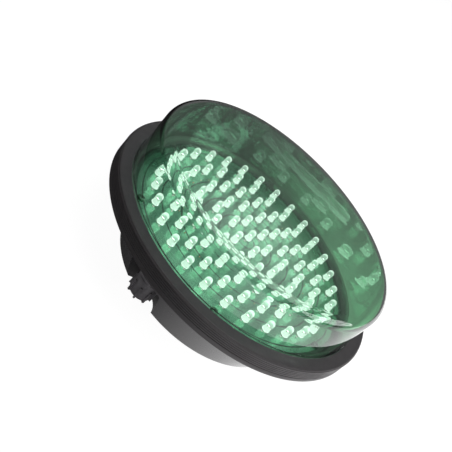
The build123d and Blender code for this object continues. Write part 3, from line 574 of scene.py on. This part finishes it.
def add_led_inside(frames, dies, cores, place):
    """What is inside one LED: the scattering core, two lead frame posts, the cup and the lit die."""
    cup_z, cup_depth, post_x, post_z = 4.6 * MM, 0.5 * MM, 0.25 * MM, 3.4 * MM
    cup = place @ Matrix.Translation((0, -0.35 * MM, 0))
    core = [(0.0, 0.5 * MM), (1.7 * MM, 0.5 * MM), (1.5 * MM, 1.4 * MM), (1.35 * MM, 3.4 * MM),
            (0.0, 3.6 * MM)]
    add_lathe(cores, core, 16, place, closed=False)
    add_box(frames, (-post_x, 0.8 * MM, post_z), (post_x, 1.4 * MM, 4.4 * MM), place)
    add_box(frames, (-post_x, -1.4 * MM, post_z), (post_x, 0.5 * MM, 3.8 * MM), place)
    bowl = [(0.0, -0.9 * MM), (0.6 * MM, -0.9 * MM), (1.0 * MM, 0.0), (0.85 * MM, 0.0),
            (0.4 * MM, -cup_depth), (0.0, -cup_depth)]
    add_lathe(frames, [(r, cup_z + z) for r, z in bowl], 14, cup, closed=False)
    die = [(0.0, -0.4 * MM), (0.42 * MM, -0.4 * MM), (0.7 * MM, -0.1 * MM), (0.4 * MM, 0.1 * MM),
           (0.0, 0.2 * MM)]
    add_lathe(dies, [(r, cup_z + z) for r, z in die], 12, cup, closed=False)


def make_leds(epoxy, frame_metal, glow, core):
    """LED bodies ring by ring, with the lead frame and lit die inside each."""
    profile = led_profile()
    frames, dies, cores = bmesh.new(), bmesh.new(), bmesh.new()
    for node, places in led_places():
        bm = bmesh.new()
        for place in places:
            add_led_body(bm, profile, place)
            add_led_inside(frames, dies, cores, place)
        piece(node + "_epoxy", finish_mesh(node, bm), epoxy, (node,))
    piece("led_cores", finish_mesh("led_cores", cores), core)
    piece("led_lead_frames", finish_mesh("led_lead_frames", frames), frame_metal)
    piece("led_dies", finish_mesh("led_dies", dies), glow)


def make_board_pads(solder):
    """Solder rings round the leads on the face of the LED board."""
    lead_side = 1.27 * MM
    ring = [(0.42 * MM, 0.0), (0.95 * MM, 0.0), (0.9 * MM, 0.05 * MM), (0.55 * MM, 0.16 * MM),
            (0.42 * MM, 0.3 * MM)]
    bm = bmesh.new()
    for _, places in led_places():
        for place in places:
            for side in (-lead_side, lead_side):
                add_lathe(bm, ring, 14, place @ Matrix.Translation((0, side, board_high.z - led_base)))
    piece("solder_rings", finish_mesh("solder_rings", bm), solder)


# ---- Floor and light ----

PAPER_GREYS = ((0.14, 0.14, 0.14), (0.16, 0.16, 0.16))
PAPER_HALF_SIZE = 4.0            # metres
PAPER_GAP = 0.2 * MM             # the paper lies this far under the object
WHITE_LEVEL = 0.96               # how bright the camera sees the paper and the far background
PAPER_FILL = 0.5                 # share of that which lights the object from the paper
BRIGHT_SIDE = (0.9, 0.42, 0.0)   # the way the paper gets brighter, as the plastic sees it
BRIGHT_FROM, BRIGHT_TO = -0.03, 0.08   # along that way, where it starts and where it is full
CARD_DARK = 0.02                 # share of the full brightness on the dark side
CARD_FULL = (1.4, 0.15)          # full brightness in reflections, and seen through the plastic
ROOM_LEVEL = 0.15                # the background as the object sees it
SOFT_GLOW = (-0.20, 0.68, 0.71)  # direction of the soft glow that hazes the lens face
GLOW_SPREAD = 16.0               # degrees from its middle to where it has faded out
GLOW_LEVEL = 0.55


def area_light(name, place, aim, size, power):
    """A rectangular softbox at a place, aimed at a point."""
    data = bpy.data.lights.new(name, "AREA")
    data.shape = "RECTANGLE"
    data.size, data.size_y = size
    data.energy = power
    obj = bpy.data.objects.new(name, data)
    obj.location = place
    obj.rotation_euler = (Vector(aim) - Vector(place)).to_track_quat("-Z", "Y").to_euler()
    bpy.context.scene.collection.objects.link(obj)
    return obj


def paper_material():
    """White paper to the camera. Reflections see it brighter towards one side."""
    n = Nodes("floor_paper")
    n.put("Base Color", n.blend(n.noise(3, 2), *PAPER_GREYS))
    n.put("Roughness", 0.9)
    n.put("Specular IOR Level", 0.1)
    n.put("Emission Color", (1.0, 1.0, 1.0, 1.0))
    n.put("Emission Strength", WHITE_LEVEL)
    along = n.add("ShaderNodeVectorMath", operation="DOT_PRODUCT")
    n.link(n.place, along.inputs[0])
    along.inputs[1].default_value = BRIGHT_SIDE
    card = n.add("ShaderNodeEmission")
    ray = n.add("ShaderNodeLightPath")
    full = n.ramp(ray.outputs["Is Transmission Ray"], *CARD_FULL)
    bright = n.ramp(along.outputs["Value"], CARD_DARK, 1.0, BRIGHT_FROM, BRIGHT_TO)
    n.link(n.math("MULTIPLY", bright, full), card.inputs["Strength"])
    fill = n.math("MULTIPLY", ray.outputs["Is Diffuse Ray"], PAPER_FILL)
    mix = n.add("ShaderNodeMixShader")
    n.link(n.math("MAXIMUM", ray.outputs["Is Camera Ray"], fill), mix.inputs[0])
    n.link(card.outputs[0], mix.inputs[1])
    n.link(n.shader.outputs[0], mix.inputs[2])
    n.link(mix.outputs[0], n.output.inputs["Surface"])
    return n.mat


def make_floor():
    """The sheet of paper under the object."""
    bm = bmesh.new()
    bmesh.ops.create_grid(bm, x_segments=1, y_segments=1, size=PAPER_HALF_SIZE)
    mesh = bpy.data.meshes.new("floor")
    bm.to_mesh(mesh)
    bm.free()
    mesh.materials.append(paper_material())
    floor = bpy.data.objects.new("floor", mesh)
    bpy.context.scene.collection.objects.link(floor)
    floor.location.z = cad_low.z - PAPER_GAP


def make_world():
    """A dim room, white to the camera, with one soft glow overhead."""
    world = bpy.data.worlds.new("studio")
    world.use_nodes = True
    tree = world.node_tree
    ray = tree.nodes.new("ShaderNodeLightPath")
    level = tree.nodes.new("ShaderNodeMapRange")
    level.inputs["To Min"].default_value = ROOM_LEVEL
    level.inputs["To Max"].default_value = WHITE_LEVEL
    tree.links.new(ray.outputs["Is Camera Ray"], level.inputs["Value"])
    place = tree.nodes.new("ShaderNodeTexCoord")
    toward = tree.nodes.new("ShaderNodeVectorMath")
    toward.operation = "DOT_PRODUCT"
    tree.links.new(place.outputs["Generated"], toward.inputs[0])
    toward.inputs[1].default_value = Vector(SOFT_GLOW).normalized()
    glow = tree.nodes.new("ShaderNodeMapRange")
    glow.interpolation_type = "SMOOTHSTEP"
    tree.links.new(toward.outputs["Value"], glow.inputs["Value"])
    glow.inputs["From Min"].default_value = math.cos(math.radians(GLOW_SPREAD))
    glow.inputs["To Max"].default_value = GLOW_LEVEL
    total = tree.nodes.new("ShaderNodeMath")
    tree.links.new(level.outputs["Result"], total.inputs[0])
    tree.links.new(glow.outputs["Result"], total.inputs[1])
    background = tree.nodes["Background"]
    tree.links.new(total.outputs[0], background.inputs["Strength"])
    background.inputs["Color"].default_value = (1.0, 1.0, 1.0, 1.0)
    bpy.context.scene.world = world


def make_lights():
    """A softbox overhead and one at the +X side."""
    area_light("overhead", (0.2, 0.2, 2.2), (0, 0, 0), (2.4, 2.4), 22)
    side = area_light("side", (1.5, 0.6, 0.7), (0.1, 0, 0), (1.4, 1.0), 20)
    side.visible_glossy = False   # it lights the object but shows in no reflection


make_camera()
make_floor()
make_world()
make_lights()
bpy.context.scene.view_settings.view_transform = "Standard"

steel = metal_material("zinc_steel", (0.62, 0.61, 0.58), 0.3)
tin = metal_material("tinned_copper", (0.75, 0.74, 0.70), 0.25)
make_lens(clear_lens_material(), barrel_inside_material())
make_gasket(rubber_material())
make_leds(led_material(), tin, glow_material(), core_material())
make_board_pads(tin)

# The gland's grey is lighter than its dark nylon: painted light, since the lamps barely reach it under the
# rim.
gland_plastic = moulded("gland_nylon", (0.165, 0.156, 0.168), 0.36)
seal_rubber = moulded("seal_rubber", (0.02, 0.02, 0.02), 0.6)
package = moulded("package_epoxy", (0.018, 0.018, 0.02), 0.5)
connector = moulded("connector_nylon", (0.78, 0.76, 0.66), 0.5)
can = moulded("can_sleeve", (0.02, 0.03, 0.09), 0.3)
ferrite = moulded("ferrite", (0.05, 0.05, 0.055), 0.6, depth=0.00006)
CAD_LOOKS = {
    "rear_housing": housing_material(),
    "led_board": led_board_material(),
    "lens_seal": seal_rubber,
    "gland_seal": seal_rubber,
    "gland_flange_seal": seal_rubber,
    "gland_body": gland_plastic,
    "gland_lock_nut": gland_plastic,
    "gland_thrust_ring": gland_plastic,
    "gland_cap_nut": gland_plastic,
    "flange_screws": steel,
    # The LED board screws: dark steel whose green colour is painted green LED light.
    "led_board_screws": moulded("dark_steel_painted_green_light", (0.12, 0.26, 0.17), 0.35, metallic=0.8),
    "driver_screws": steel,
    "terminal_screws": steel,
    "led_leads": tin,
    "fuse_clips": tin,
    "string_resistors": moulded("resistor_lacquer", (0.62, 0.50, 0.30), 0.35, (0.50, 0.22, 0.10), 900),
    "driver_board": moulded("driver_solder_mask", (0.03, 0.20, 0.08), 0.25, (0.05, 0.30, 0.12), 500),
    "terminal_block": moulded("terminal_nylon", (0.04, 0.28, 0.10), 0.5),
    "fuse": moulded("fuse_ceramic", (0.80, 0.79, 0.74), 0.25),
    "varistor": moulded("varistor_lacquer", (0.03, 0.10, 0.40), 0.3),
    "noise_filter_capacitor": moulded("film_box", (0.70, 0.46, 0.06), 0.3),
    "filter_choke_core": ferrite,
    "transformer_core": ferrite,
    "filter_choke_winding": metal_material("enamelled_copper", (0.75, 0.30, 0.10), 0.25),
    "bridge_rectifier": package,
    "driver_chip": package,
    "power_transistor": package,
    "smoothing_capacitor": can,
    "output_capacitor": can,
    "transformer_bobbin": moulded("bobbin_nylon", (0.05, 0.05, 0.05), 0.5),
    "transformer_winding": moulded("winding_tape", (0.75, 0.58, 0.06), 0.25),
    "heat_sink": metal_material("sink_aluminium", (0.70, 0.70, 0.71), 0.4),
    "link_header": connector,
    "link_socket": connector,
    "link_plug_lower": connector,
    "link_plug_upper": connector,
    "link_wires": moulded("wire_sleeve", (0.5, 0.02, 0.015), 0.35),
}
for node, material in CAD_LOOKS.items():
    mesh = frame["nodes"][node].data
    mesh.materials.clear()
    mesh.materials.append(material)
